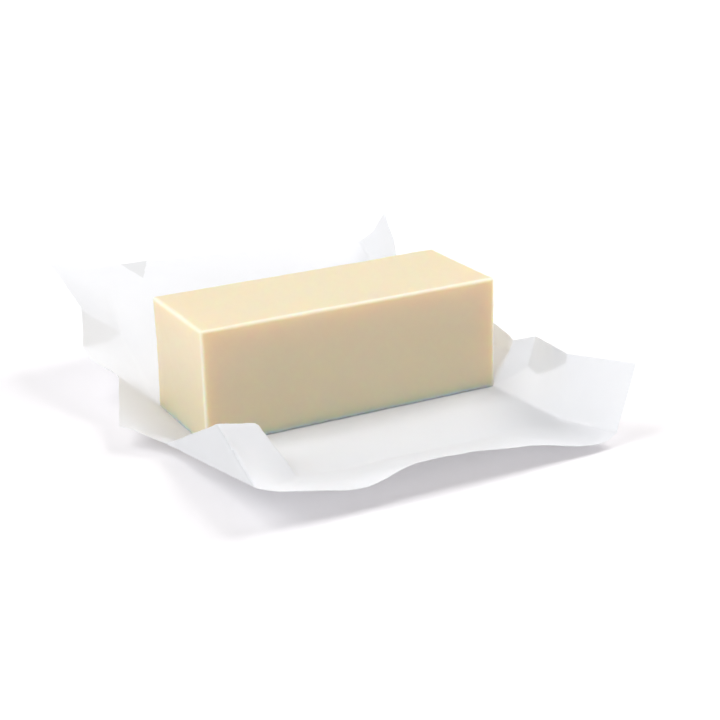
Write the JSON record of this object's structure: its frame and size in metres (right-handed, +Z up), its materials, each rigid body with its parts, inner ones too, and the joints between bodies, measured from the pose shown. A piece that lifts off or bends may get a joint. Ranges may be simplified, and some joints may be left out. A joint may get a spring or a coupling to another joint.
{
  "type": "chalk block in opened paper wrapper",
  "caption": "Pressed rectangular chalk bar with softly rounded edges, lying on its opened white creased paper wrapper whose front and back fold.",
  "frame": {"origin": "middle of the wrapper's rest face, under the centre of the block", "axes": "+Z up from the surface it lies on, +X along the block's length, -Y towards the opened front of the wrapper"},
  "size_m": [0.1475, 0.1793, 0.0444],
  "materials": {
    "block": "smooth, slightly waxy pressed block with faintly translucent edges",
    "wrapper": "thin smooth white wrapping paper with a faint sheen and sharp creases"
  },
  "bodies": {
    "base": {"base_panel": "wrapper", "left_end_panel": "wrapper", "right_end_panel": "wrapper"},
    "block": {"block": "block"},
    "front": {"front_panel": "wrapper", "front_lip": "wrapper", "front_left_pleat": "wrapper", "front_right_wall": "wrapper", "front_right_flap": "wrapper"},
    "back": {"back_panel": "wrapper", "back_lip": "wrapper", "back_left_wall": "wrapper", "back_left_flap": "wrapper", "back_right_wall": "wrapper", "back_right_flap": "wrapper"}
  },
  "joints": [
    {"name": "block_lift", "type": "slide", "parent": "base", "child": "block", "axis": [0, 0, 1], "range_m": [0, 0.12]},
    {"name": "front_fold", "type": "hinge", "parent": "base", "child": "front", "pos_m": [0, -0.0217, 0.0002], "axis": [-1, 0, 0], "range_deg": [0, 35]},
    {"name": "back_fold", "type": "hinge", "parent": "base", "child": "back", "pos_m": [0, 0.0217, 0.0002], "axis": [1, 0, 0], "range_deg": [-18, 8]}
  ]
}
